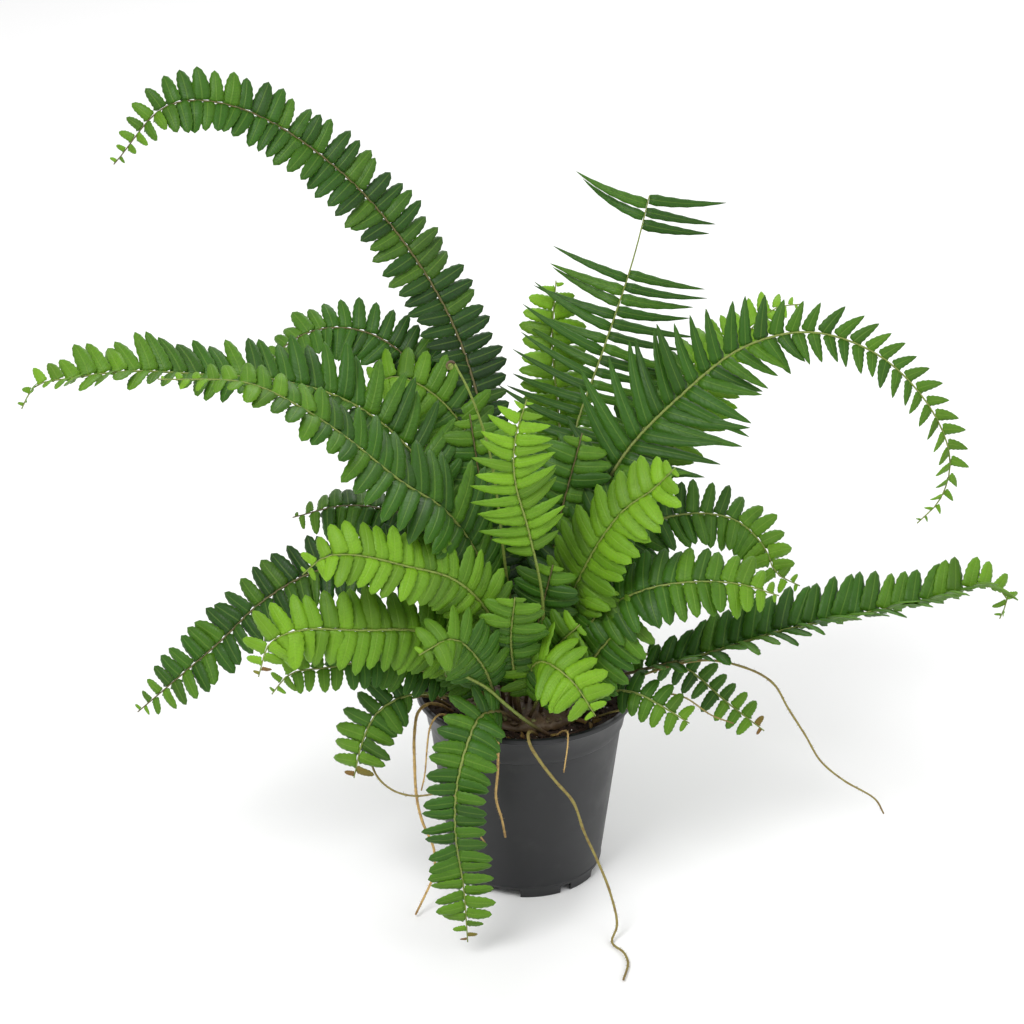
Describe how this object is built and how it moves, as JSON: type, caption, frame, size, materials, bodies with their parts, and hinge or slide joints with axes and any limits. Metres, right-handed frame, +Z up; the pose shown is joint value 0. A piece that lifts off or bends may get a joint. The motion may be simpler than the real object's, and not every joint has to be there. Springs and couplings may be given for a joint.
{
  "type": "potted fern",
  "caption": "Sword fern with long arching ladder-leaved fronds and trailing runners, growing in soil in a round black plastic nursery pot that stands on notched feet",
  "frame": {"origin": "centre of the pot on the surface it stands on, at the foot of the pot, with the box of the plant centred on it", "axes": "+Z up along the pot axis, +X to the right along the longest spread of the fronds, -Y the front where a frond and a runner hang over the rim"},
  "size_m": [0.5263, 0.2508, 0.4306],
  "materials": {
    "pot_plastic": "satin black moulded plastic",
    "potting_soil": "moist crumbly peat with fibres",
    "rootstock_fibre": "rough scaly brown",
    "leaf_dark": "smooth leathery dark green",
    "leaf_green": "smooth leathery mid green",
    "leaf_young": "thin bright yellow green",
    "stalk_green": "smooth green stalk with fine scales",
    "runner_olive": "wiry olive brown with fine hairs",
    "root_tan": "pale tan with fine hairs"
  },
  "bodies": {
    "root": {"pot": "pot_plastic", "soil": "potting_soil", "rootstock": "rootstock_fibre", "tall_arch_frond": "leaf_dark", "upright_tall_frond": "leaf_green", "right_arch_frond": "leaf_green", "left_wide_frond": "leaf_green", "left_far_frond": "leaf_green", "back_left_arch_frond": "leaf_dark", "centre_young_frond": "leaf_young", "right_back_young_frond": "leaf_young", "right_young_frond": "leaf_young", "right_curl_frond": "leaf_green", "right_mid_frond": "leaf_green", "right_low_frond": "leaf_green", "right_hang_frond": "leaf_green", "right_rim_frond": "leaf_green", "front_right_frond": "leaf_young", "front_low_frond": "leaf_green", "front_hang_frond": "leaf_green", "left_hang_frond": "leaf_green", "left_fan_frond": "leaf_young", "left_thin_frond": "leaf_green", "left_bright_frond": "leaf_young", "left_dark_frond": "leaf_dark", "left_back_dark_frond": "leaf_dark", "back_left_green_frond": "leaf_green", "back_yellow_frond": "leaf_young", "back_right_green_frond": "leaf_green", "front_left_low_frond": "leaf_green", "front_centre_frond": "leaf_green", "back_low_left_frond": "leaf_dark", "back_low_middle_frond": "leaf_dark", "back_low_right_frond": "leaf_green", "inner_left_frond": "leaf_dark", "inner_right_frond": "leaf_dark", "runner_front": "runner_olive", "runner_right": "runner_olive", "runner_left": "root_tan", "runner_loop": "runner_olive", "root_left": "root_tan", "root_middle": "root_tan", "root_low": "root_tan", "rootlet": "root_tan", "runner_rim": "runner_olive", "young_stalk": "stalk_green", "unfurling_stalk": "stalk_green"}
  },
  "joints": []
}
